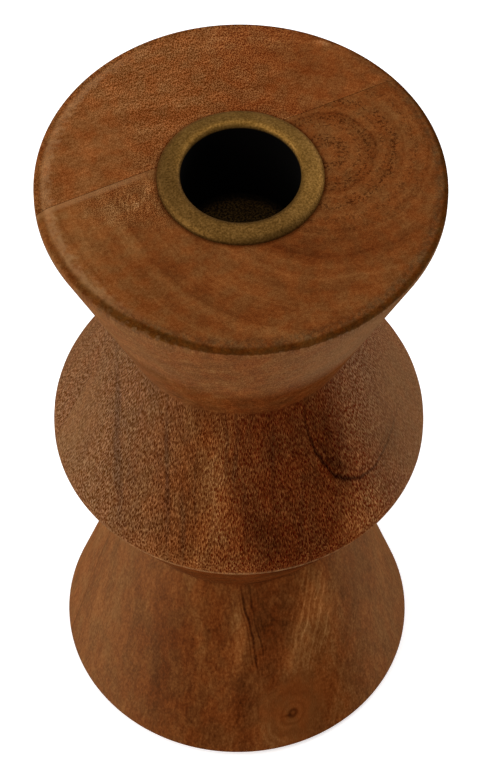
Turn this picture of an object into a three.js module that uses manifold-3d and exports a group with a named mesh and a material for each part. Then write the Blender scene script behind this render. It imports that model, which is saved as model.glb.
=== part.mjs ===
// Wooden candle holder for one taper candle: a lathe-turned, spool-shaped stem with three wide rims
// and two narrow waists, glued up from two planks, with a sheet-brass candle cup let into its top
// and a felt disc under its base.
// Millimetres, +Z up along the turning axis, origin at the centre of the underside.
// The glue joint is a flat upright face parallel to X, behind the axis.

import * as THREE from 'three';
import { mergeVertices } from 'three/addons/utils/BufferGeometryUtils.js';
import Module from 'manifold-3d';

const wasm = await Module();
wasm.setup();

// Turned stem, diameters from the base up
const baseDiameter = 73;
const lowerWaistDiameter = 46.5;
const middleRimDiameter = 74.5;
const upperWaistDiameter = 45.5;
const topDiameter = 77;

// Turned stem, heights of the four cones from the base up
const skirtHeight = 46.5;
const lowerFlareHeight = 26.5;
const shoulderHeight = 34.5;
const upperFlareHeight = 43.5;

// Turned stem, edges
const baseEdgeRadius = 0.6;
const baseLand = 1;
const shoulderLand = 3.5;
const shoulderRadius = 10;
const topLand = 1.2;
const topEdgeRadius = 0.5;
const topBevelWidth = 2.2;
const topBevelDrop = 0.8;
const topBevelRadius = 2;

// Glue joint between the planks
const glueFaceOffset = 9.5;
const glueFilm = 0.1;

// Candle cup, with its axis a little off the turning axis
const cupOffsetX = 0.2;
const cupOffsetY = 0.6;
const cupBoreDiameter = 22.5;
const cupDepth = 19.7;
const cupSheet = 0.8;
const cupFloorRadius = 1;

// Domed flange of the cup: a low lip, a rounded shoulder and a crown close to the bore
const flangeWidth = 4.35;
const flangeLip = 0.35;
const flangeShoulderInset = 0.65;
const flangeShoulderDrop = 0.55;
const flangeShoulderRadius = 2;
const flangeCrown = 1.8;
const flangeCrownWidth = 1.35;
const flangeCrownRadius = 2.5;
const flangeInnerRadius = 1;

// Clearance of the cup in its socket
const socketClearance = 0.3;

// Felt disc under the base
const feltThickness = 1;
const feltInset = 5;
const feltEdgeRadius = 0.2;

// Facets round the axis, and degrees of a rounded corner for each facet
const stemFacets = 72;
const cupFacets = 64;
const cornerStep = THREE.MathUtils.degToRad(15);

// Heights and radii worked out from the sizes above
const stemBottom = feltThickness;
const lowerWaistZ = stemBottom + skirtHeight;
const middleRimZ = lowerWaistZ + lowerFlareHeight;
const upperWaistZ = middleRimZ + shoulderHeight;
const stemTop = upperWaistZ + upperFlareHeight;
const baseRadius = baseDiameter / 2;
const middleRimRadius = middleRimDiameter / 2;
const topRadius = topDiameter / 2;
const cupInnerRadius = cupBoreDiameter / 2;
const cupOuterRadius = cupInnerRadius + cupSheet;
const flangeRadius = cupInnerRadius + flangeWidth;
const flangeTop = stemTop + flangeCrown;
const cupFloorTop = stemTop - cupDepth;
const cupFloorBottom = cupFloorTop - cupSheet;
const socketRadius = cupOuterRadius + socketClearance;
const socketBottom = cupFloorBottom - socketClearance;

// A corner of a half section: radius from the axis, height, and the rounding of the corner.
function corner(radius, height, rounding = 0) {
  return { at: new THREE.Vector2(radius, height), rounding };
}

// The arc that rounds a corner between its two neighbours.
function roundedCorner(before, { at, rounding }, after) {
  const back = before.at.clone().sub(at).normalize();
  const ahead = after.at.clone().sub(at).normalize();
  const halfAngle = back.angleTo(ahead) / 2;
  const centre = back.clone().add(ahead).setLength(rounding / Math.sin(halfAngle)).add(at);
  const reach = rounding / Math.tan(halfAngle);
  const start = back.multiplyScalar(reach).add(at).sub(centre);
  const end = ahead.multiplyScalar(reach).add(at).sub(centre);
  const turn = Math.sign(start.cross(end)) * start.angleTo(end);
  const steps = Math.max(2, Math.ceil(Math.abs(turn) / cornerStep));
  const origin = new THREE.Vector2();
  return Array.from({ length: steps + 1 }, (_, i) =>
    start.clone().rotateAround(origin, (turn * i) / steps).add(centre));
}

// A half section's points, with each rounded corner turned into an arc.
function halfSection(corners) {
  return corners.flatMap((item, i) =>
    item.rounding ? roundedCorner(corners[i - 1], item, corners[i + 1]) : [item.at]);
}

// A solid turned about Z from a half section that starts and ends on the axis.
function turned(corners, facets) {
  return new THREE.LatheGeometry(halfSection(corners), facets).rotateX(Math.PI / 2);
}

// A geometry as a solid that can be cut, with shared vertices and no triangle of zero area.
function toSolid(geometry) {
  const bare = geometry.clone().deleteAttribute('normal').deleteAttribute('uv');
  const merged = mergeVertices(bare);
  const index = Array.from(merged.index.array);
  const triVerts = [];
  for (let i = 0; i < index.length; i += 3) {
    const triangle = index.slice(i, i + 3);
    if (new Set(triangle).size === 3) {
      triVerts.push(...triangle);
    }
  }
  const vertProperties = new Float32Array(merged.attributes.position.array);
  const mesh = { numProp: 3, vertProperties, triVerts: new Uint32Array(triVerts) };
  return new wasm.Manifold(new wasm.Mesh(mesh));
}

function toGeometry(solid) {
  const { vertProperties, triVerts } = solid.getMesh();
  const geometry = new THREE.BufferGeometry();
  geometry.setAttribute('position', new THREE.BufferAttribute(vertProperties, 3));
  geometry.setIndex(new THREE.BufferAttribute(triVerts, 1));
  const faceted = geometry.toNonIndexed();
  faceted.computeVertexNormals();
  return faceted;
}

function part(name, geometry, material) {
  const mesh = new THREE.Mesh(geometry, new THREE.MeshStandardMaterial(material));
  mesh.name = name;
  return mesh;
}

// The whole turned stem before it is parted at the glue joint
function stemBlank() {
  const blank = turned([
    corner(0, stemBottom),
    corner(baseRadius, stemBottom, baseEdgeRadius),
    corner(baseRadius, stemBottom + baseLand),
    corner(lowerWaistDiameter / 2, lowerWaistZ),
    corner(middleRimRadius, middleRimZ),
    corner(middleRimRadius, middleRimZ + shoulderLand, shoulderRadius),
    corner(upperWaistDiameter / 2, upperWaistZ),
    corner(topRadius, stemTop - topBevelDrop - topEdgeRadius - topLand),
    corner(topRadius, stemTop - topBevelDrop, topEdgeRadius),
    corner(topRadius - topBevelWidth, stemTop, topBevelRadius),
    corner(0, stemTop),
  ], stemFacets);
  const socket = turned([
    corner(0, socketBottom),
    corner(socketRadius, socketBottom),
    corner(socketRadius, flangeTop),
    corner(0, flangeTop),
  ], cupFacets).translate(cupOffsetX, cupOffsetY, 0);
  return toSolid(blank).subtract(toSolid(socket));
}

// The stem's wood between two upright faces parallel to X
function plank(stem, fromY, toY) {
  const slab = new THREE.BoxGeometry(2 * topDiameter, toY - fromY, 2 * stemTop);
  slab.translate(0, (fromY + toY) / 2, stemTop / 2);
  return toGeometry(stem.intersect(toSolid(slab)));
}

function candleCup() {
  return turned([
    corner(0, cupFloorBottom),
    corner(cupOuterRadius, cupFloorBottom, cupFloorRadius + cupSheet),
    corner(cupOuterRadius, stemTop),
    corner(flangeRadius, stemTop),
    corner(flangeRadius, stemTop + flangeLip),
    corner(flangeRadius - flangeShoulderInset, flangeTop - flangeShoulderDrop, flangeShoulderRadius),
    corner(cupInnerRadius + flangeCrownWidth, flangeTop, flangeCrownRadius),
    corner(cupInnerRadius, flangeTop, flangeInnerRadius),
    corner(cupInnerRadius, cupFloorTop, cupFloorRadius),
    corner(0, cupFloorTop),
  ], cupFacets).translate(cupOffsetX, cupOffsetY, 0);
}

function feltPad() {
  const feltRadius = baseRadius - feltInset;
  return turned([
    corner(0, 0),
    corner(feltRadius, 0, feltEdgeRadius),
    corner(feltRadius, feltThickness),
    corner(0, feltThickness),
  ], stemFacets);
}

const frontWood = { color: 0x7a4424, roughness: 0.62, metalness: 0 };
const backWood = { color: 0x8c542e, roughness: 0.62, metalness: 0 };
const agedBrass = { color: 0x7d6432, roughness: 0.42, metalness: 0.9 };
const felt = { color: 0x2b211b, roughness: 0.95, metalness: 0 };

const stem = stemBlank();
const frontGlueFace = glueFaceOffset - glueFilm / 2;
const backGlueFace = glueFaceOffset + glueFilm / 2;

const candleHolder = new THREE.Group();
candleHolder.add(
  part('front_plank', plank(stem, -topDiameter, frontGlueFace), frontWood),
  part('back_plank', plank(stem, backGlueFace, topDiameter), backWood),
  part('candle_cup', candleCup(), agedBrass),
  part('felt_pad', feltPad(), felt),
);

export default candleHolder;
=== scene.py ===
import math

import bmesh
import bpy
from mathutils import Matrix, Vector

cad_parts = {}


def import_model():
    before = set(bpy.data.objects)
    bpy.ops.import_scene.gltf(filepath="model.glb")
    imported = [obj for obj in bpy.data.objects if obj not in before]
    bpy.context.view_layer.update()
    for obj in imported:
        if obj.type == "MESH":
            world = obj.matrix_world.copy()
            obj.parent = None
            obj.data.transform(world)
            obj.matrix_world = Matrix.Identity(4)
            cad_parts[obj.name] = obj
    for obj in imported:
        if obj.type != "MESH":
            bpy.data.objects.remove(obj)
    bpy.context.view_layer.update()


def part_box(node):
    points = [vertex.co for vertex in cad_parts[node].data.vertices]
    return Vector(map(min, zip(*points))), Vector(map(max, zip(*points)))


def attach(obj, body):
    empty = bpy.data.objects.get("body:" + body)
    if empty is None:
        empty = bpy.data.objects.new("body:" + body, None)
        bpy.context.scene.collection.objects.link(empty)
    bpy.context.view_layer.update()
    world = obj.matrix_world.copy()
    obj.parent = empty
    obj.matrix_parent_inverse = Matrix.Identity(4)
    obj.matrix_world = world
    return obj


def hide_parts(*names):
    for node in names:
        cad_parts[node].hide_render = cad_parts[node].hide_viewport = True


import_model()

# Looks of a turned wooden candle holder with a brass candle cup.
# Metres, +Z up along the turning axis; the glue face between the planks is parallel to X.
# Sizes written in millimetres are multiplied by MM; the shader graphs work in millimetres.

MM = 0.001

# The photograph looks at the frame turned by this angle about Z
AZIMUTH = math.radians(-26.09)

# Sizes read from the frame
front_low, front_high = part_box("front_plank")
back_low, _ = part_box("back_plank")
cup_low, cup_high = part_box("candle_cup")
felt_low, felt_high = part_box("felt_pad")
TOP_RADIUS = front_high.x
STEM_BOTTOM = front_low.z
STEM_TOP = front_high.z
FRONT_GLUE_FACE = front_high.y
BACK_GLUE_FACE = back_low.y
CUP_CENTRE = (cup_low + cup_high) / 2
FLANGE_RADIUS = (cup_high.x - cup_low.x) / 2
FLANGE_TOP = cup_high.z
CUP_BOTTOM = cup_low.z
FELT_RADIUS = felt_high.x
FELT_THICKNESS = felt_high.z - felt_low.z

# Turned profile of the stem, beside the sizes above
BASE_RADIUS = 36.5 * MM
LOWER_WAIST_RADIUS = 23.25 * MM
MIDDLE_RIM_RADIUS = 37.25 * MM
UPPER_WAIST_RADIUS = 22.75 * MM
LOWER_WAIST_Z = 47.5 * MM
MIDDLE_RIM_Z = 74.0 * MM
UPPER_WAIST_Z = 108.5 * MM
BASE_EDGE_ROUND = 0.6 * MM
BASE_LAND = 1.0 * MM
SHOULDER_LAND = 3.5 * MM
SHOULDER_ROUND = 10.0 * MM
RIM_EDGE_ROUND = 0.25 * MM
TOP_LAND = 1.2 * MM
TOP_EDGE_ROUND = 0.5 * MM
TOP_BEVEL_WIDTH = 2.2 * MM
TOP_BEVEL_DROP = 0.8 * MM
TOP_BEVEL_ROUND = 2.0 * MM
bevel_start = TOP_RADIUS - TOP_BEVEL_WIDTH

# Candle cup and its socket
CUP_BORE_RADIUS = 11.25 * MM
CUP_SHEET = 0.8 * MM
CUP_FLOOR_ROUND = 1.0 * MM
FLANGE_LIP = 0.35 * MM
FLANGE_SHOULDER_INSET = 0.65 * MM
FLANGE_SHOULDER_DROP = 0.55 * MM
FLANGE_SHOULDER_ROUND = 2.0 * MM
FLANGE_CROWN_WIDTH = 1.35 * MM
FLANGE_CROWN_ROUND = 2.5 * MM
FLANGE_INNER_ROUND = 1.0 * MM
SOCKET_CLEARANCE = 0.3 * MM
FELT_EDGE_ROUND = 0.2 * MM
cup_outer_radius = CUP_BORE_RADIUS + CUP_SHEET
cup_floor_top = CUP_BOTTOM + CUP_SHEET
socket_radius = cup_outer_radius + SOCKET_CLEARANCE
socket_floor = CUP_BOTTOM - SOCKET_CLEARANCE

# A small chip in the lower arris of the top rim
CHIP_ANGLE = math.radians(-118.3)
CHIP_HEIGHT = STEM_TOP - 2.2 * MM
CHIP_DEPTH = 0.5 * MM
CHIP_HALF_WIDTH = 0.9 * MM
CHIP_HALF_HEIGHT = 0.6 * MM

# Mesh fineness
STEM_SEGMENTS = 360
CUP_SEGMENTS = 192
ARC_STEP = math.radians(9)
RING_SPACING = 1.6 * MM
CHIP_STEP = math.radians(0.25)
CHIP_STEPS = 9
# How near a vertex lies to a face that it is on
TOUCH = 0.001 * MM


# Half sections

def corner(radius, height, rounding=0.0):
    """A corner of a half section: radius from the axis, height and the rounding of the corner."""
    return Vector((radius, height)), rounding


def rounded_corner(before, at, rounding, after):
    """The arc that rounds a corner between its two neighbours."""
    back = (before - at).normalized()
    ahead = (after - at).normalized()
    half_angle = back.angle(ahead) / 2
    centre = at + (back + ahead).normalized() * (rounding / math.sin(half_angle))
    reach = rounding / math.tan(half_angle)
    start = at + back * reach - centre
    end = at + ahead * reach - centre
    turn = math.atan2(start.x * end.y - start.y * end.x, start.dot(end))
    steps = max(3, math.ceil(abs(turn) / ARC_STEP))
    return [centre + start @ Matrix.Rotation(-turn * i / steps, 2) for i in range(steps + 1)]


def half_section(corners):
    """The points of a half section, with rounded corners and with long straights divided."""
    points = []
    for i, (at, rounding) in enumerate(corners):
        if rounding:
            points += rounded_corner(corners[i - 1][0], at, rounding, corners[i + 1][0])
        else:
            points.append(at)
    divided = [points[0]]
    for point in points[1:]:
        start = divided[-1]
        pieces = max(1, round((point - start).length / RING_SPACING))
        divided += [start.lerp(point, (i + 1) / pieces) for i in range(pieces)]
    return divided


def even_angles(count):
    return [math.tau * i / count for i in range(count)]


def revolve(bm, points, angles):
    """Turns a half section that starts and ends on the axis into a closed surface."""
    first = bm.verts.new((0, 0, points[0].y))
    last = bm.verts.new((0, 0, points[-1].y))
    rings = [
        [bm.verts.new((p.x * math.cos(a), p.x * math.sin(a), p.y)) for a in angles]
        for p in points[1:-1]
    ]
    for i in range(len(angles)):
        j = (i + 1) % len(angles)
        bm.faces.new((first, rings[0][j], rings[0][i]))
        bm.faces.new((last, rings[-1][i], rings[-1][j]))
        for low, high in zip(rings, rings[1:]):
            bm.faces.new((low[i], low[j], high[j], high[i]))


def mesh_object(name, bm, sharp=math.radians(30)):
    """A smooth-shaded object from a bmesh, with its hard arrises kept sharp."""
    bmesh.ops.recalc_face_normals(bm, faces=bm.faces)
    mesh = bpy.data.meshes.new(name)
    bm.to_mesh(mesh)
    bm.free()
    mesh.shade_smooth()
    mesh.set_sharp_from_angle(angle=sharp)
    piece = bpy.data.objects.new(name, mesh)
    bpy.context.scene.collection.objects.link(piece)
    return piece


def dress(piece, material, node):
    """Gives a piece its material and slot, and lets it stand for its CAD node."""
    piece.data.materials.append(material)
    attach(piece, "root")
    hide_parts(node)


# Turned planks

def stem_section():
    """Half section of the stem with its socket, from the underside round to the socket's floor."""
    rim_top = STEM_TOP - TOP_BEVEL_DROP
    return half_section([
        corner(0, STEM_BOTTOM),
        corner(BASE_RADIUS, STEM_BOTTOM, BASE_EDGE_ROUND),
        corner(BASE_RADIUS, STEM_BOTTOM + BASE_LAND),
        corner(LOWER_WAIST_RADIUS, LOWER_WAIST_Z),
        corner(MIDDLE_RIM_RADIUS, MIDDLE_RIM_Z, RIM_EDGE_ROUND),
        corner(MIDDLE_RIM_RADIUS, MIDDLE_RIM_Z + SHOULDER_LAND, SHOULDER_ROUND),
        corner(UPPER_WAIST_RADIUS, UPPER_WAIST_Z),
        corner(TOP_RADIUS, rim_top - TOP_EDGE_ROUND - TOP_LAND),
        corner(TOP_RADIUS, rim_top, TOP_EDGE_ROUND),
        corner(bevel_start, STEM_TOP, TOP_BEVEL_ROUND),
        corner(socket_radius, STEM_TOP),
        corner(socket_radius, socket_floor),
        corner(0, socket_floor),
    ])


def stem_angles():
    """Even steps round the axis, with finer ones across the chip."""
    fine = [(CHIP_ANGLE + CHIP_STEP * i) % math.tau for i in range(-CHIP_STEPS, CHIP_STEPS + 1)]
    clear = [a for a in even_angles(STEM_SEGMENTS) if all(abs(a - f) > CHIP_STEP for f in fine)]
    return sorted(clear + fine)


def centre_socket(bm):
    """Moves the socket under the cup's axis, and lets the rings of the top face follow it."""
    for vert in bm.verts:
        radius = vert.co.to_2d().length
        in_socket = radius < socket_radius + TOUCH and vert.co.z > socket_floor - TOUCH
        on_top = vert.co.z > STEM_TOP - TOUCH
        if in_socket or on_top:
            share = min(1, max(0, (bevel_start - radius) / (bevel_start - socket_radius)))
            vert.co += Vector((CUP_CENTRE.x, CUP_CENTRE.y, 0)) * share


def chip(bm):
    """Presses the small chip into the lower arris of the top rim."""
    around = Vector((-math.sin(CHIP_ANGLE), math.cos(CHIP_ANGLE), 0))
    place = Vector((math.cos(CHIP_ANGLE), math.sin(CHIP_ANGLE), 0)) * TOP_RADIUS
    place.z = CHIP_HEIGHT
    for vert in bm.verts:
        away = vert.co - place
        if away.length < 4 * CHIP_HALF_WIDTH:
            wide = away.dot(around) / CHIP_HALF_WIDTH
            high = away.z / CHIP_HALF_HEIGHT
            outward = Vector((vert.co.x, vert.co.y, 0)).normalized()
            vert.co -= outward * CHIP_DEPTH * math.exp(-2 * (wide * wide + high * high))


def plank(name, glue_face, side):
    """The stem's wood on one side of the glue face; side is -1 in front of it and 1 behind it."""
    bm = bmesh.new()
    revolve(bm, stem_section(), stem_angles())
    centre_socket(bm)
    chip(bm)
    cut = bmesh.ops.bisect_plane(
        bm, geom=bm.verts[:] + bm.edges[:] + bm.faces[:], dist=1e-7,
        plane_co=(0, glue_face, 0), plane_no=(0, -side, 0), clear_outer=True,
    )
    rim = [item for item in cut["geom_cut"] if isinstance(item, bmesh.types.BMEdge)]
    bmesh.ops.triangle_fill(bm, use_beauty=True, use_dissolve=False, edges=rim)
    return mesh_object(name, bm)


# Shader graphs

class Graph:
    """A material's node graph; each method adds a node and returns its output socket."""

    def __init__(self, name):
        self.material = bpy.data.materials.new(name)
        self.material.use_nodes = True
        self.nodes = self.material.node_tree.nodes
        self.links = self.material.node_tree.links
        self.nodes.clear()

    def put(self, socket, value):
        """Links a socket, or sets a plain value."""
        if isinstance(value, bpy.types.NodeSocket):
            self.links.new(value, socket)
        elif value is not None:
            socket.default_value = value

    def node(self, kind, inputs, output=0, **settings):
        """Adds a node; inputs maps a socket's name or index to a value or an output socket."""
        node = self.nodes.new(kind)
        for key, value in settings.items():
            setattr(node, key, value)
        for key, value in inputs.items():
            self.put(node.inputs[key], value)
        return node.outputs[output]

    def math(self, operation, a, b=None, c=None):
        inputs = {i: v for i, v in enumerate((a, b, c)) if v is not None}
        return self.node("ShaderNodeMath", inputs, operation=operation)

    def times(self, *factors):
        product = factors[0]
        for factor in factors[1:]:
            product = self.math("MULTIPLY", product, factor)
        return product

    def total(self, *terms):
        result = terms[0]
        for term in terms[1:]:
            result = self.math("ADD", result, term)
        return result

    def between(self, factor, a, b):
        """Number a where the factor is 0 and b where it is 1."""
        return self.math("MULTIPLY_ADD", factor, self.math("SUBTRACT", b, a), a)

    def vector(self, operation, a, b=None, output=0):
        inputs = {i: v for i, v in enumerate((a, b)) if v is not None}
        return self.node("ShaderNodeVectorMath", inputs, output, operation=operation)

    def scaled(self, vector, factors):
        return self.vector("MULTIPLY", vector, factors)

    def length(self, vector):
        return self.vector("LENGTH", vector, output=1)

    def facing(self, outward, side):
        """How far an outward direction faces a side, from 1 to -1."""
        return self.vector("DOT_PRODUCT", outward, side, output=1)

    def part(self, vector, axis):
        """One coordinate of a vector: 0, 1 or 2."""
        return self.node("ShaderNodeSeparateXYZ", {0: vector}, axis)

    def millimetres(self):
        """The point that is shaded, in the frame's axes and in millimetres."""
        return self.scaled(self.node("ShaderNodeTexCoord", {}, "Object"), (1 / MM,) * 3)

    def as_seen(self, vector):
        """A vector in axes that are turned with the camera."""
        inputs = {"Vector": vector, "Angle": -AZIMUTH}
        return self.node("ShaderNodeVectorRotate", inputs, rotation_type="Z_AXIS")

    def noise(self, vector, frequency, detail=3.0, roughness=0.5, distortion=0.0, output=0):
        """Noise with its frequency for each axis, per millimetre."""
        inputs = {"Vector": self.scaled(vector, frequency), "Scale": 1.0, "Detail": detail,
                  "Roughness": roughness, "Distortion": distortion}
        return self.node("ShaderNodeTexNoise", inputs, output, noise_dimensions="3D")

    def scattered(self, across, along, cells):
        """Distance in cells to the nearest of points scattered one to a cell, and its random number."""
        vector = self.scaled(self.node("ShaderNodeCombineXYZ", {0: across, 1: along}), (*cells, 0.0))
        distance = self.node("ShaderNodeTexVoronoi", {"Vector": vector, "Scale": 1.0, "Randomness": 0.9},
                             feature="F1", voronoi_dimensions="2D")
        return distance, self.part(distance.node.outputs["Color"], 0)

    def wander(self, vector, frequency, reach):
        """A slow random shift, up to about half of reach along each axis."""
        shift = self.noise(vector, frequency, detail=2.0, output=1)
        return self.scaled(self.vector("SUBTRACT", shift, (0.5,) * 3), reach)

    def span(self, value, low, high, to_low=0.0, to_high=1.0, kind="SMOOTHSTEP"):
        """Value mapped from low..high to to_low..to_high, clamped."""
        inputs = {"Value": value, "From Min": low, "From Max": high,
                  "To Min": to_low, "To Max": to_high}
        return self.node("ShaderNodeMapRange", inputs, interpolation_type=kind)

    def swing(self, value, reach):
        """Noise as a change of tone, from -reach to reach."""
        return self.span(value, 0.28, 0.72, -reach, reach, "LINEAR")

    def ramp(self, factor, stops, interpolation="LINEAR"):
        """A ramp with stops (place, colour or grey)."""
        node = self.nodes.new("ShaderNodeValToRGB")
        node.color_ramp.interpolation = interpolation
        elements = node.color_ramp.elements
        while len(elements) < len(stops):
            elements.new(0.5)
        for element, (place, shade) in zip(elements, stops):
            element.position = place
            element.color = (*shade, 1) if isinstance(shade, tuple) else (shade, shade, shade, 1)
        self.put(node.inputs[0], factor)
        return node.outputs[0]

    def mix(self, factor, a, b, blend="MIX"):
        """Two colours mixed."""
        inputs = {0: factor, 6: a if not isinstance(a, tuple) else (*a, 1),
                  7: b if not isinstance(b, tuple) else (*b, 1)}
        return self.node("ShaderNodeMix", inputs, 2, data_type="RGBA", blend_type=blend, clamp_factor=True)

    def vector_mix(self, factor, a, b):
        """Vector a where the factor is 0 and b where it is 1."""
        return self.node("ShaderNodeMix", {0: factor, 4: a, 5: b}, 1, data_type="VECTOR")

    def tinted(self, colour, tint, amount):
        """A colour multiplied by a tint where the amount is 1."""
        return self.mix(amount, colour, self.mix(1.0, colour, tint, "MULTIPLY"))

    def finish(self, bump_layers, **inputs):
        """Adds the bump layers (height, distance, strength) and the surface shader."""
        shader = self.nodes.new("ShaderNodeBsdfPrincipled")
        for key, value in inputs.items():
            self.put(shader.inputs[key.replace("_", " ")], value)
        normal = None
        for height, distance, strength in bump_layers:
            bump = {"Height": height, "Distance": distance, "Strength": strength}
            if normal is not None:
                bump["Normal"] = normal
            normal = self.node("ShaderNodeBump", bump)
        self.put(shader.inputs["Normal"], normal)
        output = self.nodes.new("ShaderNodeOutputMaterial")
        self.links.new(shader.outputs[0], output.inputs["Surface"])
        return self.material


# Wood: heights and places below are millimetres in the frame, and tones run from 0, darkest, to 1

TOP_MM = STEM_TOP / MM
LOWER_WAIST_MM = LOWER_WAIST_Z / MM
MIDDLE_RIM_MM = MIDDLE_RIM_Z / MM
UPPER_WAIST_MM = UPPER_WAIST_Z / MM
BEVEL_START_MM = bevel_start / MM
# Width of the range that a ramp's colours hold the pith's x and y in
AXIS_RANGE = 160.0

# Colours of the stained wood by tone
SHADES = (
    (0.00, (0.022, 0.0055, 0.0016)),
    (0.20, (0.054, 0.0130, 0.0026)),
    (0.35, (0.092, 0.0225, 0.0045)),
    (0.50, (0.139, 0.0400, 0.0085)),
    (0.65, (0.193, 0.0670, 0.0165)),
    (0.80, (0.272, 0.1080, 0.0310)),
    (1.00, (0.400, 0.1900, 0.0700)),
)

# Front plank: the pith's path (height, x, y) and tones by distance from it
FRONT_PITH = (
    (2, -11.0, -22.0), (16, -8.5, -21.2), (23, -6.0, -20.3), (27, -4.2, -19.2), (33, -2.9, -18.2),
    (42, -2.4, -16.6), (60, 3.0, -18.4), (74, 8.6, -20.2), (85, 12.4, -21.4), (91, 13.6, -24.0),
    (98, 12.1, -22.8), (107, 11.3, -18.4), (130, 15.2, -9.0), (152, 17.6, -0.5),
)
FRONT_BANDS = (
    (0, 0.56), (3, 0.55), (6, 0.53), (9, 0.50), (10, 0.54), (16, 0.53), (22, 0.52), (26, 0.54),
    (29, 0.60), (33, 0.58), (40, 0.56), (46, 0.59), (60, 0.62),
)
# Dark rings, here and in the figure below: distance, half width and depth
FRONT_LINES = (
    (9.3, 0.28, 0.30), (13.2, 0.3, 0.08), (25.6, 0.5, 0.05), (38.4, 0.3, 0.05), (45.4, 0.4, 0.06),
)

# Back plank: nearly straight rings, from a pith far in front of it
BACK_PITH = ((0, -14.0, -52.0), (152, -22.0, -48.0))
BACK_BANDS = (
    (0, 0.64), (58, 0.66), (62, 0.63), (66, 0.69), (71, 0.64), (75, 0.70), (80, 0.66), (86, 0.71),
    (92, 0.67), (110, 0.70),
)
BACK_LINES = ((60.5, 0.6, 0.05), (67.5, 0.7, 0.06), (76.0, 0.6, 0.05), (83.0, 0.8, 0.05))

# Places in the figure, as the photograph sees them: X to the right, Y away and Z up

# Patches of tone: centre, radii, softness of the edge and change of tone
FRONT_PATCHES = (
    # Shoulder: the dark heart and its darkest spot, the dark band and light middle of the arch,
    # the light spot below it and the light streak left of the heart
    ((10.0, -28.0, 90.0), (11.0, 14.0, 26.0), 0.25, -0.13),
    ((4.0, -35.0, 82.0), (6.0, 8.0, 7.0), 0.6, -0.10),
    ((17.8, -19.5, 100.0), (2.2, 7.0, 11.0), 0.5, -0.08),
    ((25.0, -16.0, 96.0), (4.5, 8.0, 10.0), 0.6, 0.04),
    ((25.0, -26.0, 80.0), (5.0, 6.0, 4.5), 0.7, 0.16),
    ((-4.5, -31.0, 92.0), (1.8, 10.0, 16.0), 0.7, 0.09),
    # Skirt: the dark wedge and its darkest spots, the orange streak left of it, the golden column
    # right of it, and darker ground low down and at the left
    ((7.6, -24.5, 42.0), (5.0, 8.0, 12.0), 0.35, -0.08),
    ((7.2, -29.0, 26.0), (2.4, 8.0, 8.0), 0.5, -0.05),
    ((6.6, -25.0, 38.0), (1.3, 6.0, 3.2), 0.8, -0.09),
    ((0.6, -27.5, 33.0), (1.2, 7.0, 8.0), 0.6, 0.15),
    ((16.2, -21.0, 37.0), (3.6, 8.0, 10.0), 0.5, 0.12),
    ((13.2, -27.0, 25.0), (2.8, 7.0, 7.0), 0.5, 0.10),
    ((1.5, -33.5, 12.0), (2.0, 7.0, 11.0), 0.6, -0.07),
    ((-6.0, -34.0, 8.0), (12.0, 10.0, 9.0), 0.6, -0.06),
    ((-14.0, -26.0, 24.0), (7.0, 12.0, 16.0), 0.6, -0.06),
    # Foot of the upper flare, darkened as painted shade at the upper waist
    ((0.0, -26.0, 116.0), (30.0, 30.0, 9.0), 0.6, -0.08),
    # Top face: smudges and darker ground in front and at the right, lighter ground at the left
    ((-12.8, -20.3, 152.0), (5.0, 2.0, 3.0), 0.8, -0.06),
    ((10.9, -15.9, 152.0), (5.0, 1.8, 3.0), 0.8, -0.06),
    ((0.0, -29.0, 152.0), (16.0, 3.0, 3.0), 0.8, -0.04),
    ((0.0, -24.0, 152.0), (26.0, 14.0, 3.0), 0.5, -0.05),
    ((22.0, -17.0, 152.0), (12.0, 8.0, 3.0), 0.7, -0.05),
    ((-29.0, -10.0, 152.0), (6.0, 8.0, 3.0), 0.8, 0.05),
)
BACK_PATCHES = (
    # Top face: darker ground at the right and the back, and a light spot near the rim
    ((16.0, 26.0, 152.0), (16.0, 14.0, 3.0), 0.7, -0.10),
    ((0.0, 30.0, 152.0), (14.0, 14.0, 3.0), 0.7, -0.03),
    ((15.1, 33.0, 152.0), (1.4, 0.9, 1.5), 0.5, 0.22),
)
# Thin dark streaks on the skirt and the shoulder: centre, radii, softness of the edge and depth
FRONT_STREAKS = (
    ((-17.0, -24.0, 22.0), (0.9, 9.0, 9.0), 0.7, 0.30),
    ((-9.5, -29.0, 22.0), (0.8, 9.0, 10.0), 0.7, 0.25),
    ((-23.5, -19.0, 91.0), (0.7, 16.0, 15.0), 0.6, 0.55),
    ((-13.8, -26.0, 94.0), (0.55, 14.0, 16.0), 0.6, 0.60),
    ((-10.8, -32.5, 83.0), (0.5, 7.0, 7.0), 0.6, 0.55),
    ((-8.2, -30.0, 91.0), (0.35, 12.0, 9.0), 0.6, 0.35),
    ((-0.8, -26.0, 101.0), (0.45, 10.0, 9.0), 0.6, 0.60),
    ((-2.6, -26.0, 101.0), (0.35, 8.0, 7.0), 0.6, 0.40),
    ((1.0, -31.5, 89.0), (0.6, 8.0, 8.0), 0.7, 0.40),
    ((6.7, -27.5, 96.5), (0.5, 10.0, 10.0), 0.6, 0.45),
    ((12.4, -30.5, 87.0), (0.5, 9.0, 9.0), 0.6, 0.40),
)
# Places where the grain shows as fine lines: centre, radii and the change of tone on a line
FRONT_HAIRS = (
    ((-12.0, -28.0, 92.0), (5.0, 12.0, 15.0), -0.12),
    ((-23.5, -18.0, 94.0), (2.5, 12.0, 16.0), -0.10),
    ((26.0, -21.0, 30.0), (8.0, 9.0, 12.0), 0.04),
)
BACK_HAIRS = (
    ((-15.0, 30.5, 90.0), (24.0, 14.0, 20.0), -0.06),
)
# The arch on the shoulder, an ellipse in X and Z, and the wedge on the skirt, which opens upwards
ARCH_CENTRE = (26.0, 0.0, 111.2)
ARCH_RADII = (13.6, 25.0)
WEDGE_FOOT = (7.5, 0.0, 9.0)
WEDGE_SLOPE = 0.178
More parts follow.
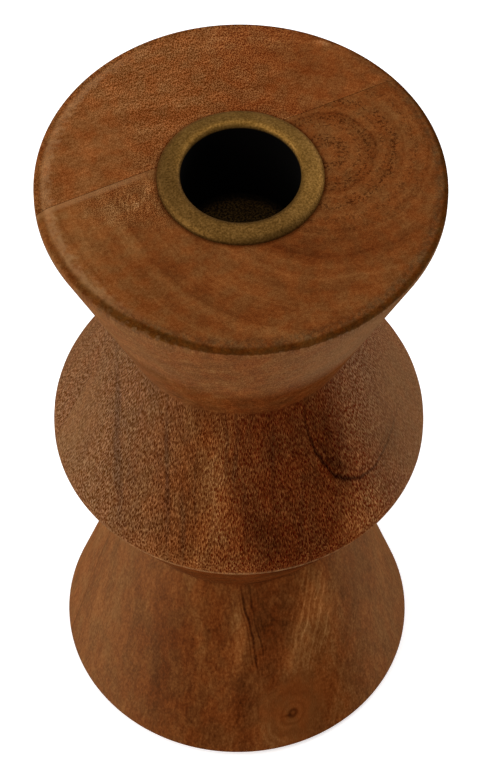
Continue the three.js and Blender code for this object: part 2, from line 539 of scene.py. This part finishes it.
# Their dark lines by distance outwards, counted from LINE_OFFSET inside the arch or wedge
ARCH_LINES = (
    (7.4, 0.5, 0.05), (9.0, 0.5, 0.08), (9.9, 0.35, 0.30), (11.2, 0.4, 0.05), (13.0, 0.5, 0.05),
)
WEDGE_LINES = (
    (7.2, 0.3, 0.10), (7.9, 0.25, 0.06), (8.5, 0.3, 0.20), (9.2, 0.2, 0.08), (10.0, 0.4, 0.32),
    (10.8, 0.25, 0.14), (11.5, 0.2, 0.08), (12.6, 0.3, 0.12),
)
LINE_OFFSET = 10.0
# Where each set of lines shows: centre and radii
ARCH_REGION = ((23.0, -22.0, 95.0), (13.5, 16.0, 16.0))
WEDGE_REGION = ((3.0, -27.0, 35.5), (3.8, 9.0, 13.0))
# The wavy light fibres of the golden column: centre, radii and change of tone
COLUMN_FIBRES = ((15.5, -23.0, 34.0), (4.5, 9.0, 14.0), 0.16)
# Places where the pores fade out: centre, radii and how far, from 0 to 1
FRONT_CALM = (
    ((33.0, -4.0, 88.0), (9.0, 16.0, 18.0), 0.65),
    ((-33.5, -6.0, 88.0), (7.0, 12.0, 12.0), 0.45),
)
BACK_CALM = (
    ((22.0, 26.0, 152.0), (16.0, 14.0, 4.0), 0.65),
    ((-30.0, 4.0, 152.0), (10.0, 14.0, 4.0), 0.55),
)
# A curly spot on the top face, with its change of tone, and the pebbled grain round it
CURL = ((-19.6, -4.5, 152.0), (4.0, 4.5, 3.0), 0.18)
PEBBLES = ((-20.0, -5.0, 152.0), (9.0, 6.0, 3.0))

# A small knot low on the skirt and its tones by distance
KNOT_CENTRE = (12.0, -31.9, 10.3)
KNOT_REACH = 11.0
KNOT_TONES = (
    (0.0, 0.42), (0.3, 0.40), (0.55, 0.24), (0.8, 0.24), (1.2, 0.45), (1.8, 0.50), (2.4, 0.41), (3.0, 0.48),
    (3.8, 0.46), (4.8, 0.41), (5.6, 0.45), (6.6, 0.48), (7.9, 0.38), (9.0, 0.45), (11.0, 0.44),
)
# The dark check at its heart, as a patch of tone
KNOT_CHECK = ((10.9, -31.9, 10.0), (1.2, 3.0, 0.35), 0.8, -0.14)
# The orange swirl below and left of the knot: its arcs by distance from the knot, and where they show
SWIRL_LINES = ((3.2, 0.6, 0.08), (5.4, 1.0, 0.14), (7.3, 1.1, 0.15), (9.2, 0.8, 0.08))
SWIRL_REGION = ((7.8, -34.5, 4.6), (5.0, 6.0, 5.2))
# Two bird's-eye spots left of the orange streak, with their dark rings
EYES = ((-4.1, -27.4, 32.3), (-5.4, -26.8, 35.6))
EYE_RINGS = ((0.9, 0.4, 0.07), (2.0, 0.5, 0.04))
EYE_REACH = 3.0

# Change of tone for each zone of the stem: skirt, lower flare, shoulder, upper flare and top; the lower
# flare's deep darkening is painted shade under the middle rim
ZONE_TONES = (-0.06, -0.22, -0.03, -0.06, 0.02)
# The side to the right in the photograph, and the side of the top rim, right of the front,
# where its darkening is deepest
RIGHT_SIDE = (math.cos(AZIMUTH), math.sin(AZIMUTH), 0.0)
RIM_DARKEST_SIDE = (0.32, -0.94, 0.0)
# Cells of the scattered dashes of the pores round and up the stem, and the frequency of the
# noise of their vessels, per millimetre, on a stem that is evened out to one radius
DASH_CELLS = (3.2, 1.0)
VESSEL_GRAIN = (9.0, 9.0, 1.3)
EVEN_RADIUS = 30.0

# Tints multiply the wood's colour. COOL and WARM take turns over the surface
COOL = (0.94, 1.03, 1.10)
WARM = (1.06, 0.97, 0.90)
# Pores, and the ridges between them, have one tint at the left and one at the right
PORE_TINTS = ((0.28, 0.13, 0.02), (0.36, 0.03, 0.0))
RIDGE_TINTS = ((1.55, 1.85, 2.45), (1.80, 2.10, 2.6))
STREAK_TINT = (0.50, 0.56, 0.75)
LINE_TINT = (0.40, 0.30, 0.25)
FLECK_TINT = (0.42, 0.36, 0.34)
RIM_DARKENING_TINT = (0.66, 0.80, 1.02)
# Painted shade on the top rim's lower arris
PAINTED_ARRIS_SHADE_TINT = (0.46, 0.36, 0.14)
# Painted shadow of the flange on the top face
FLANGE_SHADOW_TINT = (0.50, 0.44, 0.38)

# Colours that are mixed into the wood's own: a painted sheen and painted highlights
# Painted sheen: pale reflected light on the sides of the stem
PAINTED_SHEEN = (0.205, 0.118, 0.054)
# Painted highlight along the glue seam
PAINTED_SEAM_HIGHLIGHT = (0.34, 0.17, 0.07)
# Painted highlight on the top rim's bevel at the left
PAINTED_RIM_HIGHLIGHT = (0.40, 0.22, 0.10)
# Painted highlight on the lower edge of the middle rim
PAINTED_ARRIS_HIGHLIGHT = (0.36, 0.19, 0.08)


def pith_place(g, height, path):
    """The pith's x and y at a height."""
    stops = [(z / TOP_MM, (x / AXIS_RANGE + 0.5, y / AXIS_RANGE + 0.5, 0.0)) for z, x, y in path]
    place = g.ramp(g.math("DIVIDE", height, TOP_MM), stops, "CARDINAL")
    return g.scaled(g.vector("SUBTRACT", place, (0.5, 0.5, 0.0)), (AXIS_RANGE, AXIS_RANGE, 0.0))


def tones_by_distance(g, distance, tones):
    """Tone by distance, from (distance, tone) pairs."""
    reach = tones[-1][0]
    return g.ramp(g.math("DIVIDE", distance, reach), [(at / reach, tone) for at, tone in tones])


def ring_lines(g, distance, lines, reach):
    """Depth of the dark rings, from (distance, half width, depth) of each; at most ten of them."""
    depths = [(0.0, 0.0)]
    for at, half_width, depth in lines:
        depths += [(at - half_width, 0.0), (at, depth), (at + half_width, 0.0)]
    return tones_by_distance(g, distance, depths + [(reach, 0.0)])


def patch(g, seen, centre, radii, edge=0.55):
    """1 inside an ellipsoid and 0 outside it, with a soft edge."""
    away = g.length(g.vector("DIVIDE", g.vector("SUBTRACT", seen, centre), radii))
    return g.span(away, 1.0 + edge, 1.0 - edge)


def with_patches(g, seen, tone, patches):
    """The tone with patches added: (centre, radii, softness of the edge, change)."""
    for centre, radii, edge, change in patches:
        tone = g.math("MULTIPLY_ADD", patch(g, seen, centre, radii, edge), change, tone)
    return tone


def knot(g, seen, tone):
    """The tone with the knot's rings laid over it; the knot's own axis runs towards the camera."""
    offset = g.vector("SUBTRACT", seen, KNOT_CENTRE)
    uneven = g.times(g.swing(g.noise(seen, (0.22, 0.22, 0.22)), 0.8), g.span(g.length(offset), 1.0, 5.0))
    away = g.math("ADD", g.length(g.scaled(offset, (1.0, 0.0, 0.77))), uneven)
    weight = g.times(g.span(away, KNOT_REACH, 0.2 * KNOT_REACH), g.span(g.part(offset, 1), 8.0, 4.0))
    ringed = g.between(weight, tone, tones_by_distance(g, away, KNOT_TONES))
    swirl = g.times(ring_lines(g, away, SWIRL_LINES, KNOT_REACH), patch(g, seen, *SWIRL_REGION))
    ringed = g.math("ADD", ringed, swirl)
    return with_patches(g, seen, ringed, (KNOT_CHECK,))


def eyes(g, seen, tone):
    """The tone with the rings of the bird's-eye spots."""
    for centre in EYES:
        away = g.length(g.scaled(g.vector("SUBTRACT", seen, centre), (1.0, 0.0, 0.7)))
        tone = g.math("SUBTRACT", tone, ring_lines(g, away, EYE_RINGS, EYE_REACH))
    return tone


def grain_shift(g, seeded):
    """How far the grain wanders from straight, in long sways and in short ripples."""
    sway = g.wander(seeded, (0.06, 0.06, 0.022), (3.0, 3.0, 4.0))
    ripple = g.wander(seeded, (0.35, 0.35, 0.10), (1.3, 1.3, 2.0))
    return g.vector("ADD", sway, ripple)


def hair_lines(g, distance, height):
    """Fine lines along the growth rings: 1 on a line and 0 beside it."""
    field = g.noise(g.node("ShaderNodeCombineXYZ", {0: distance, 2: height}), (1.5, 0.0, 0.035),
                    detail=2.0, roughness=0.6)
    return g.span(field, 0.46, 0.62)


def arch(g, seen):
    """Distance outwards from the arch on the shoulder, plus LINE_OFFSET."""
    offset = g.vector("SUBTRACT", seen, ARCH_CENTRE)
    ratio = g.length(g.scaled(offset, (1 / ARCH_RADII[0], 0.0, 1 / ARCH_RADII[1])))
    return g.math("MULTIPLY_ADD", ratio, ARCH_RADII[0], LINE_OFFSET - ARCH_RADII[0])


def wedge(g, seen):
    """Distance outwards from the limbs of the wedge on the skirt, plus LINE_OFFSET."""
    offset = g.vector("SUBTRACT", seen, WEDGE_FOOT)
    across = g.math("ABSOLUTE", g.part(offset, 0))
    return g.total(g.times(g.part(offset, 2), -WEDGE_SLOPE), across, LINE_OFFSET)


def figure_lines(g, seen):
    """Depth of the dark lines of the arch and the wedge."""
    return g.total(*(
        g.times(ring_lines(g, outward, lines, 2 * LINE_OFFSET), patch(g, seen, *region, 0.4))
        for outward, lines, region in ((arch(g, seen), ARCH_LINES, ARCH_REGION),
                                       (wedge(g, seen), WEDGE_LINES, WEDGE_REGION))
    ))


def column_fibres(g, seen, height):
    """Change of tone of the wavy fibres right of the wedge."""
    centre, radii, change = COLUMN_FIBRES
    return g.times(hair_lines(g, wedge(g, seen), height), patch(g, seen, centre, radii), change)


def lengthwise(g, point):
    """The point with its distance from the axis evened out, so that noise runs along the profile."""
    outward = g.vector("NORMALIZE", g.scaled(point, (1.0, 1.0, 0.0)))
    around = g.scaled(outward, (EVEN_RADIUS, EVEN_RADIUS, 0.0))
    return g.vector("ADD", around, g.scaled(point, (0.0, 0.0, 1.0)))


def zones(g, height, skirt, lower_flare, shoulder, upper_flare, top):
    """A strength for each cone of the stem and for its top face."""
    blend = 0.4
    stops = [(0.0, skirt)]
    for z, below, above in ((LOWER_WAIST_MM, skirt, lower_flare), (MIDDLE_RIM_MM, lower_flare, shoulder),
                            (UPPER_WAIST_MM, shoulder, upper_flare), (TOP_MM - 1.2, upper_flare, top)):
        stops += [((z - blend) / TOP_MM, below), ((z + blend) / TOP_MM, above)]
    return g.ramp(g.math("DIVIDE", height, TOP_MM), stops)


class Spot:
    """The shaded point as the layers of the wood read it: places in millimetres, and masks."""

    def __init__(self, g, seed, pith):
        self.point = g.millimetres()
        self.height = g.part(self.point, 2)
        self.seeded = g.vector("ADD", self.point, seed)
        grown = g.vector("ADD", self.point, grain_shift(g, self.seeded))
        self.seen = g.as_seen(grown)
        level = g.scaled(self.point, (1.0, 1.0, 0.0))
        self.radius = g.length(level)
        self.outward = g.vector("NORMALIZE", level)
        self.side = g.facing(self.outward, RIGHT_SIDE)
        from_pith = g.vector("SUBTRACT", grown, pith_place(g, self.height, pith))
        self.distance = g.length(g.scaled(from_pith, (1.0, 1.0, 0.0)))
        self.on_top = g.span(self.height, TOP_MM - 1.0, TOP_MM - 0.85, kind="LINEAR")
        self.smudge = g.noise(self.seeded, (0.9, 0.9, 0.9), detail=3.0, roughness=0.6)


def ringed_tone(g, at, bands, lines):
    """Tone of the growth rings, whose dark lines come and go."""
    patchy = g.span(g.noise(at.seeded, (0.13, 0.13, 0.05), detail=2.0), 0.36, 0.58, 0.45, 1.0)
    rings = g.times(ring_lines(g, at.distance, lines, bands[-1][0]), patchy,
                    zones(g, at.height, 0.2, 0.4, 0.2, 0.4, 0.35))
    return g.math("SUBTRACT", tones_by_distance(g, at.distance, bands), rings)


def grain_tone(g, at, fibres):
    """Change of tone of bands, streaks, fine grain, clouds of stain and turning marks."""
    along_rings = g.node("ShaderNodeCombineXYZ", {0: at.distance, 2: at.height})
    bands_noise = g.noise(along_rings, (0.55, 0.0, 0.012), detail=4.0, roughness=0.65)
    banded = g.times(g.swing(bands_noise, 1.0), zones(g, at.height, 0.06, 0.06, 0.05, 0.06, 0.09))
    streak = g.noise(at.seeded, (0.30, 0.30, 0.02), roughness=0.55, distortion=0.3)
    grain = g.noise(at.seeded, (2.0, 2.0, 1.2), detail=1.0)
    clouds = g.noise(at.seeded, (0.16, 0.16, 0.09), detail=3.0)
    fine = g.times(g.total(g.swing(fibres, 0.06), g.swing(grain, 0.05), g.swing(clouds, 0.03)),
                   zones(g, at.height, 1.7, 1.2, 1.0, 1.2, 1.0))
    turning = g.noise(at.seeded, (0.05, 0.05, 1.8), detail=4.0, roughness=0.7)
    turned = g.times(g.swing(turning, 0.09), zones(g, at.height, 0.2, 1.0, 0.0, 1.0, 0.0))
    # A ramp holds no negative values, so the zones' changes of tone are raised by 0.5 in it
    zoned = g.math("SUBTRACT", zones(g, at.height, *(0.5 + change for change in ZONE_TONES)), 0.5)
    return g.total(banded, g.swing(streak, 0.05), fine, turned, zoned)


def with_hairs(g, at, tone, hairs):
    """The tone with fine lines along the rings: (centre, radii, change)."""
    hair = hair_lines(g, at.distance, at.height)
    for centre, radii, change in hairs:
        tone = g.math("MULTIPLY_ADD", g.times(hair, patch(g, at.seen, centre, radii)), change, tone)
    return tone


def with_figure(g, at, tone, lines_depth):
    """The tone with the curl on the top, the lines of arch and wedge, the knot and the eyes."""
    centre, radii, change = CURL
    strokes = g.span(g.noise(at.seen, (2.4, 0.30, 0.3), detail=1.0), 0.50, 0.60)
    tone = g.math("MULTIPLY_ADD", g.times(strokes, patch(g, at.seen, centre, radii)), change, tone)
    tone = g.total(g.math("SUBTRACT", tone, lines_depth), column_fibres(g, at.seen, at.height))
    steady = g.as_seen(at.point)
    return eyes(g, steady, knot(g, steady, tone))


def stained(g, at, tone, cast):
    """The tone's colour, a little cooler and warmer by turns, with a painted sheen on the sides and under
    the top rim.
    """
    tinge = g.span(g.noise(at.seeded, (0.30, 0.30, 0.12), detail=3.0), 0.35, 0.65)
    cool, warm = (tuple(a * b for a, b in zip(cast, swing)) for swing in (COOL, WARM))
    colour = g.mix(1.0, g.ramp(tone, SHADES), g.mix(tinge, cool, warm), "MULTIPLY")
    # Painted sheen where the cones turn away to the left and right, and on the upper flare below the top
    # rim
    sheen_on_sides = g.math("MAXIMUM", g.span(at.side, 0.60, 1.0, 0.0, 0.48),
                      g.span(at.side, -0.20, -1.0, 0.0, 0.42))
    sheen_under_rim = g.times(g.span(at.height, UPPER_WAIST_MM + 9.0, UPPER_WAIST_MM + 21.0),
                        g.math("MAXIMUM", g.span(at.side, 0.0, 0.7, 0.20, 0.75),
                               g.span(at.side, -0.1, -0.7, 0.20, 0.42)))
    painted_sheen = g.times(g.math("MAXIMUM", sheen_on_sides, sheen_under_rim), zones(g, at.height, 0.6, 0.7, 1.0, 0.7, 0.0))
    return g.mix(painted_sheen, colour, PAINTED_SHEEN)


def pore_strength(g, at, calm, top_pores, figured):
    """How open the pores are: most on the shoulder, and less in the calm places."""
    strength = zones(g, at.height, 0.15, 0.25, 1.0, 0.30, top_pores)
    for centre, radii, depth in calm:
        inside = patch(g, at.seen, centre, radii)
        strength = g.times(strength, g.span(inside, 0.0, 1.0, 1.0, 1.0 - depth, "LINEAR"))
    if figured:
        strength = g.math("MULTIPLY_ADD", patch(g, at.seen, *PEBBLES), 0.6, strength)
    return strength


def open_pores(g, at, vessels):
    """Pores: scattered upright dashes on the cones, and dots where vessels open on the end grain."""
    around = g.math("ARCTAN2", g.part(at.point, 0), g.times(g.part(at.point, 1), -1.0))
    away, chance = g.scattered(g.times(around, EVEN_RADIUS), at.height, DASH_CELLS)
    dash = g.times(g.span(away, 0.45, 0.26), g.span(chance, 0.0, 1.0, 0.55, 1.0),
                   g.math("SUBTRACT", 1.0, at.on_top))
    dots = g.times(g.span(vessels, 0.52, 0.40), g.between(at.on_top, 0.45, 1.0))
    return g.math("MAXIMUM", dash, dots)


def with_flecks(g, at, colour):
    """Dark flecks in arcs round the pith, on the end grain."""
    flecks = g.noise(at.seeded, (2.2, 2.2, 0.3), detail=2.0, roughness=0.6)
    arcs = g.noise(g.node("ShaderNodeCombineXYZ", {0: at.distance}), (0.45, 0.0, 0.0), detail=1.0)
    fleck = g.times(g.span(flecks, 0.50, 0.40), g.span(at.distance, 24.0, 12.0),
                    g.span(arcs, 0.40, 0.58, 0.15, 1.0), zones(g, at.height, 0.0, 0.1, 0.2, 0.1, 1.0))
    return g.tinted(colour, FLECK_TINT, fleck)


def with_seam_highlight(g, at, colour):
    """A painted highlight along the front of the glue seam, strongest at the left."""
    depth = g.part(at.point, 1)
    # Painted highlight beside the seam
    seam_highlight = g.times(g.span(depth, FRONT_GLUE_FACE / MM - 1.5, FRONT_GLUE_FACE / MM - 0.7),
                    g.span(depth, BACK_GLUE_FACE / MM, FRONT_GLUE_FACE / MM),
                    g.span(g.part(at.point, 0), -10.0, -22.0), at.on_top)
    return g.mix(g.times(seam_highlight, 0.35), colour, PAINTED_SEAM_HIGHLIGHT)


def with_top_rim(g, at, colour):
    """The top rim: darkened and greyed at the front and right, lit at the left by a painted highlight,
    with a dark arris of painted shade that stays off the upright land at the left."""
    ragged_radius = g.math("ADD", at.radius, g.swing(at.smudge, 0.7))
    front = g.span(g.facing(at.outward, RIM_DARKEST_SIDE), -0.55, 0.35)
    rim = g.span(at.height, TOP_MM - 2.0, TOP_MM - 1.2)
    rim_darkening = g.times(g.span(ragged_radius, BEVEL_START_MM - 0.9, BEVEL_START_MM + 0.3), rim, front,
                     g.span(at.smudge, 0.38, 0.62, 1.0, 0.25))
    colour = g.tinted(colour, RIM_DARKENING_TINT, rim_darkening)
    # Painted highlight on the bevel at the left
    painted_highlight = g.times(g.span(ragged_radius, BEVEL_START_MM - 1.6, BEVEL_START_MM - 0.1),
                     g.span(at.radius, BEVEL_START_MM + 1.4, BEVEL_START_MM + 0.6), rim,
                     g.span(at.side, -0.40, -0.85), g.span(at.smudge, 0.35, 0.60, 0.4, 1.0))
    colour = g.mix(g.times(painted_highlight, 0.30), colour, PAINTED_RIM_HIGHLIGHT)
    left = g.span(at.side, -0.05, -0.45)
    outer = g.span(g.math("MULTIPLY_ADD", left, 0.7, at.radius),
                   BEVEL_START_MM + 1.0, BEVEL_START_MM + 1.7)
    ragged_height = g.total(at.height, g.swing(at.smudge, 0.45), g.times(left, -0.7))
    # Painted shade along the rim's lower arris, strongest at the front
    arris = g.times(outer, g.span(ragged_height, TOP_MM - 1.7, TOP_MM - 1.3), g.between(front, 0.4, 0.85))
    return g.tinted(colour, PAINTED_ARRIS_SHADE_TINT, arris)


def with_flange_shadow(g, at, colour):
    """A painted shadow of the flange, on the wood round it."""
    from_cup = g.vector("SUBTRACT", at.point, (CUP_CENTRE.x / MM, CUP_CENTRE.y / MM, 0.0))
    away = g.length(g.scaled(from_cup, (1.0, 1.0, 0.0)))
    # Painted shadow round the flange
    flange_shadow = g.times(g.span(away, FLANGE_RADIUS / MM + 0.9, FLANGE_RADIUS / MM + 0.1), at.on_top)
    return g.tinted(colour, FLANGE_SHADOW_TINT, flange_shadow)


def with_arris_highlight(g, at, colour):
    """A painted highlight along the lower edge of the middle rim."""
    painted_highlight = g.times(g.span(at.height, MIDDLE_RIM_MM + 0.75, MIDDLE_RIM_MM + 0.15),
                     g.span(at.radius, MIDDLE_RIM_RADIUS / MM - 0.5, MIDDLE_RIM_RADIUS / MM - 0.15),
                     g.span(at.smudge, 0.35, 0.60, 0.35, 1.0))
    return g.mix(g.times(painted_highlight, 0.40), colour, PAINTED_ARRIS_HIGHLIGHT)


def wood(name, seed, pith, bands, lines, patches, hairs, streaks=(), calm=(), top_grain=(5.0, 5.0, 1.0),
         top_pores=0.2, cast=(1.0, 1.0, 1.0), figured=False):
    """Stained, open-pored hardwood with upright grain round a wandering pith."""
    g = Graph(name)
    at = Spot(g, seed, pith)
    fibres = g.noise(at.seeded, (1.3, 1.3, 0.09), detail=3.0, roughness=0.6)
    tone = g.math("ADD", ringed_tone(g, at, bands, lines), grain_tone(g, at, fibres))
    tone = with_hairs(g, at, with_patches(g, at.seen, tone, patches), hairs)
    if figured:
        lines_depth = figure_lines(g, at.seen)
        tone = with_figure(g, at, tone, lines_depth)
    colour = stained(g, at, tone, cast)
    for centre, radii, edge, depth in streaks:
        colour = g.tinted(colour, STREAK_TINT, g.times(patch(g, at.seen, centre, radii, edge), depth))

    along = g.vector("ADD", lengthwise(g, at.point), seed)
    grained = g.vector_mix(at.on_top, g.scaled(along, VESSEL_GRAIN), g.scaled(at.seeded, top_grain))
    vessels = g.noise(grained, (1.0, 1.0, 1.0), detail=0.0)
    strength = pore_strength(g, at, calm, top_pores, figured)
    pore = g.times(open_pores(g, at, vessels), strength)
    ridge = g.times(g.span(vessels, 0.50, 0.64), strength)
    right_side = g.span(at.side, -0.45, 0.15)
    colour = g.tinted(colour, g.mix(right_side, *PORE_TINTS), pore)
    colour = g.tinted(colour, g.mix(right_side, *RIDGE_TINTS), ridge)
    if figured:
        on_shoulder = zones(g, at.height, 0.0, 0.0, 1.6, 0.0, 0.0)
        colour = g.tinted(colour, LINE_TINT, g.times(lines_depth, on_shoulder))
    # Flecks, then painted highlights on the seam and the rims, and painted shade on the top rim and round
    # the flange
    for layer in (with_flecks, with_seam_highlight, with_top_rim, with_flange_shadow, with_arris_highlight):
        colour = layer(g, at, colour)

    roughness = g.total(g.span(vessels, 0.3, 0.7, 0.62, 0.50, "LINEAR"), g.times(pore, 0.15))
    pit = g.math("SUBTRACT", 1.0, pore)
    return g.finish([(fibres, 0.00010, 0.3), (pit, 0.00008, 0.4)], Base_Color=colour, Roughness=roughness,
                    Specular_IOR_Level=0.0)


# Brass and felt

# The side of the flange, left of the front, where its painted shade is darkest
FLANGE_SHADE_SIDE = (-0.75, -0.66, 0.0)
FLANGE_SHADE_TINT = (0.60, 0.58, 0.61)
# Sooty black with painted shade, inside the cup
SOOT_AND_SHADE = (0.0010, 0.0006, 0.0003)


def brass():
    """Antique brass, speckled, with painted shade on one side of the flange, and a sooty black with painted
    shade inside the cup.
    """
    g = Graph("aged_brass")
    point = g.millimetres()
    height = g.part(point, 2)
    centred = g.vector("SUBTRACT", point, (CUP_CENTRE.x / MM, CUP_CENTRE.y / MM, 0.0))
    radius = g.length(g.scaled(centred, (1.0, 1.0, 0.0)))
    speck = g.noise(point, (2.6,) * 3, detail=3.0, roughness=0.65)
    clouds = g.noise(point, (0.25,) * 3)
    colour = g.ramp(g.total(speck, g.swing(clouds, 0.06)), [
        (0.30, (0.110, 0.052, 0.009)),
        (0.48, (0.190, 0.094, 0.018)),
        (0.68, (0.300, 0.157, 0.038)),
    ])
    outward = g.vector("NORMALIZE", g.scaled(centred, (1.0, 1.0, 0.0)))
    # Painted shade on the flange's left front
    colour = g.tinted(colour, FLANGE_SHADE_TINT, g.span(g.facing(outward, FLANGE_SHADE_SIDE), -0.4, 0.7))
    # Soot, with painted shade, blackens the wall and thins out towards the middle of the floor
    inside = g.times(g.span(radius, CUP_BORE_RADIUS / MM + 0.5, CUP_BORE_RADIUS / MM + 0.05),
                     g.span(height, TOP_MM + 1.4, TOP_MM + 0.5))
    floor_height = g.span(height, cup_floor_top / MM + 0.9, cup_floor_top / MM + 0.2)
    from_wall = g.math("SUBTRACT", CUP_BORE_RADIUS / MM, radius)
    worn = g.times(floor_height, g.span(from_wall, 0.35, 1.85, 0.02, 0.15),
                   g.span(speck, 0.40, 0.60, 0.2, 1.8, "LINEAR"))
    soot_and_shade = g.times(inside, g.math("SUBTRACT", 1.0, worn))
    colour = g.mix(soot_and_shade, colour, SOOT_AND_SHADE)
    roughness = g.total(g.span(speck, 0.3, 0.7, 0.62, 0.52, "LINEAR"), g.times(soot_and_shade, 0.38))
    metal = g.span(soot_and_shade, 0.0, 0.5, 0.9, 0.0, "LINEAR")
    return g.finish([(speck, 0.00003, 0.3)], Base_Color=colour, Metallic=metal, Roughness=roughness,
                    Specular_IOR_Level=0.05)


def felt():
    """Dark pressed wool."""
    g = Graph("felt")
    point = g.millimetres()
    fuzz = g.noise(point, (2.4,) * 3, detail=5.0, roughness=0.75, distortion=1.5)
    clouds = g.noise(point, (0.12,) * 3, detail=2.0)
    colour = g.ramp(g.math("MULTIPLY_ADD", clouds, 0.3, g.times(fuzz, 0.8)), [
        (0.3, (0.014, 0.011, 0.008)),
        (0.7, (0.060, 0.047, 0.037)),
    ])
    return g.finish([(fuzz, 0.0003, 0.8)], Base_Color=colour, Roughness=0.95, Sheen_Weight=0.1,
                    Specular_IOR_Level=0.2)


# Candle cup and felt disc

def cup():
    """The spun cup with its rolled flange."""
    bm = bmesh.new()
    revolve(bm, half_section([
        corner(0, CUP_BOTTOM),
        corner(cup_outer_radius, CUP_BOTTOM, CUP_FLOOR_ROUND + CUP_SHEET),
        corner(cup_outer_radius, STEM_TOP),
        corner(FLANGE_RADIUS, STEM_TOP),
        corner(FLANGE_RADIUS, STEM_TOP + FLANGE_LIP),
        corner(FLANGE_RADIUS - FLANGE_SHOULDER_INSET, FLANGE_TOP - FLANGE_SHOULDER_DROP,
               FLANGE_SHOULDER_ROUND),
        corner(CUP_BORE_RADIUS + FLANGE_CROWN_WIDTH, FLANGE_TOP, FLANGE_CROWN_ROUND),
        corner(CUP_BORE_RADIUS, FLANGE_TOP, FLANGE_INNER_ROUND),
        corner(CUP_BORE_RADIUS, cup_floor_top, CUP_FLOOR_ROUND),
        corner(0, cup_floor_top),
    ]), even_angles(CUP_SEGMENTS))
    bmesh.ops.translate(bm, verts=bm.verts, vec=(CUP_CENTRE.x, CUP_CENTRE.y, 0))
    return mesh_object("candle_cup_spun", bm, sharp=math.radians(50))


def felt_disc():
    """The felt disc under the base."""
    bm = bmesh.new()
    revolve(bm, half_section([
        corner(0, 0),
        corner(FELT_RADIUS, 0, FELT_EDGE_ROUND),
        corner(FELT_RADIUS, FELT_THICKNESS),
        corner(0, FELT_THICKNESS),
    ]), even_angles(CUP_SEGMENTS))
    return mesh_object("felt_pad_pressed", bm)


# Stage

FLOOR_SIZE = 6.0
FLOOR_DROP = 0.1 * MM
LAMP_TARGET = Vector((0, 0, 0.09))


def floor():
    """A plain white light table that the holder stands on."""
    bm = bmesh.new()
    bmesh.ops.create_grid(bm, x_segments=1, y_segments=1, size=FLOOR_SIZE / 2)
    piece = mesh_object("studio_floor", bm)
    g = Graph("studio_floor")
    grain = g.noise(g.millimetres(), (0.009,) * 3, detail=2.0)
    colour = g.mix(grain, (0.86, 0.86, 0.86), (0.88, 0.88, 0.88))
    piece.data.materials.append(g.finish([], Base_Color=colour, Roughness=0.9, Specular_IOR_Level=0.1,
                                         Emission_Color=(1.0, 1.0, 1.0, 1.0), Emission_Strength=0.55))
    piece.location.z = -FLOOR_DROP


def softbox(name, direction, distance, size, power):
    """A square area light, placed by its direction from the holder as the camera sees it."""
    data = bpy.data.lights.new(name, "AREA")
    data.shape = "SQUARE"
    data.size = size
    data.energy = power
    lamp = bpy.data.objects.new(name, data)
    bpy.context.scene.collection.objects.link(lamp)
    away = Matrix.Rotation(AZIMUTH, 3, "Z") @ Vector(direction).normalized()
    lamp.location = LAMP_TARGET + away * distance
    lamp.rotation_euler = (-away).to_track_quat("-Z", "Y").to_euler()


def world(strength):
    """Even white light from all round."""
    backdrop = bpy.data.worlds.new("studio")
    backdrop.use_nodes = True
    background = backdrop.node_tree.nodes["Background"]
    background.inputs["Color"].default_value = (1.0, 1.0, 1.0, 1)
    background.inputs["Strength"].default_value = strength
    bpy.context.scene.world = backdrop


# Camera: the photograph's view, in the frame turned by AZIMUTH about Z. The picture's height and
# the focal length are in pixels, the sensor in millimetres and the angles in radians.

IMAGE_HEIGHT = 767
FOCAL_PIXELS = 3802.2
SENSOR = 36.0
ELEVATION = 0.911067
DISTANCE = 705.04 * MM
YAW = -0.002873
PITCH = -0.05328
ROLL = -0.009571
NEAREST = 0.01
FARTHEST = 20.0


def camera():
    """The camera that took the photograph, aimed at the middle of the top and then turned a little."""
    data = bpy.data.cameras.new("photo_view")
    data.sensor_fit = "VERTICAL"
    data.sensor_height = SENSOR
    data.lens = FOCAL_PIXELS / IMAGE_HEIGHT * SENSOR
    data.clip_start = NEAREST
    data.clip_end = FARTHEST
    place = Vector((0, -math.cos(ELEVATION), math.sin(ELEVATION))) * DISTANCE
    away = place.normalized()
    right = Vector((1, 0, 0))
    axes = Matrix((right, away.cross(right), away)).transposed()
    for own_axis, angle in (("Y", YAW), ("X", PITCH), ("Z", -ROLL)):
        axes = axes @ Matrix.Rotation(angle, 3, own_axis)
    turn = Matrix.Rotation(AZIMUTH, 3, "Z")
    target = Vector((0, 0, STEM_TOP))
    view = bpy.data.objects.new("photo_view", data)
    bpy.context.scene.collection.objects.link(view)
    view.matrix_world = Matrix.Translation(target + turn @ place) @ (turn @ axes).to_4x4()
    bpy.context.scene.camera = view


camera()
front_wood = wood("front_wood", seed=(13.0, 41.0, 7.0), pith=FRONT_PITH, bands=FRONT_BANDS,
                  lines=FRONT_LINES, patches=FRONT_PATCHES, hairs=FRONT_HAIRS,
                  streaks=FRONT_STREAKS, calm=FRONT_CALM, figured=True)
back_wood = wood("back_wood", seed=(71.0, 23.0, 55.0), pith=BACK_PITH, bands=BACK_BANDS,
                 lines=BACK_LINES, patches=BACK_PATCHES, hairs=BACK_HAIRS, calm=BACK_CALM,
                 top_grain=(6.5, 2.4, 1.0), top_pores=0.75, cast=(0.96, 0.85, 0.79))
dress(plank("front_plank_turned", FRONT_GLUE_FACE, -1), front_wood, "front_plank")
dress(plank("back_plank_turned", BACK_GLUE_FACE, 1), back_wood, "back_plank")
dress(cup(), brass(), "candle_cup")
dress(felt_disc(), felt(), "felt_pad")

floor()
world(strength=0.30)
softbox("overhead", (0.0, 0.1, 1.0), distance=1.2, size=1.0, power=5.0)
softbox("key_left_front", (-0.62, -0.52, 0.58), distance=1.3, size=0.8, power=7.5)
softbox("side_left", (-0.93, 0.05, 0.36), distance=1.2, size=0.9, power=5.0)
softbox("side_right", (0.75, 0.50, 0.43), distance=1.2, size=0.9, power=5.7)
view_settings = bpy.context.scene.view_settings
view_settings.view_transform = "Standard"
view_settings.look = "None"
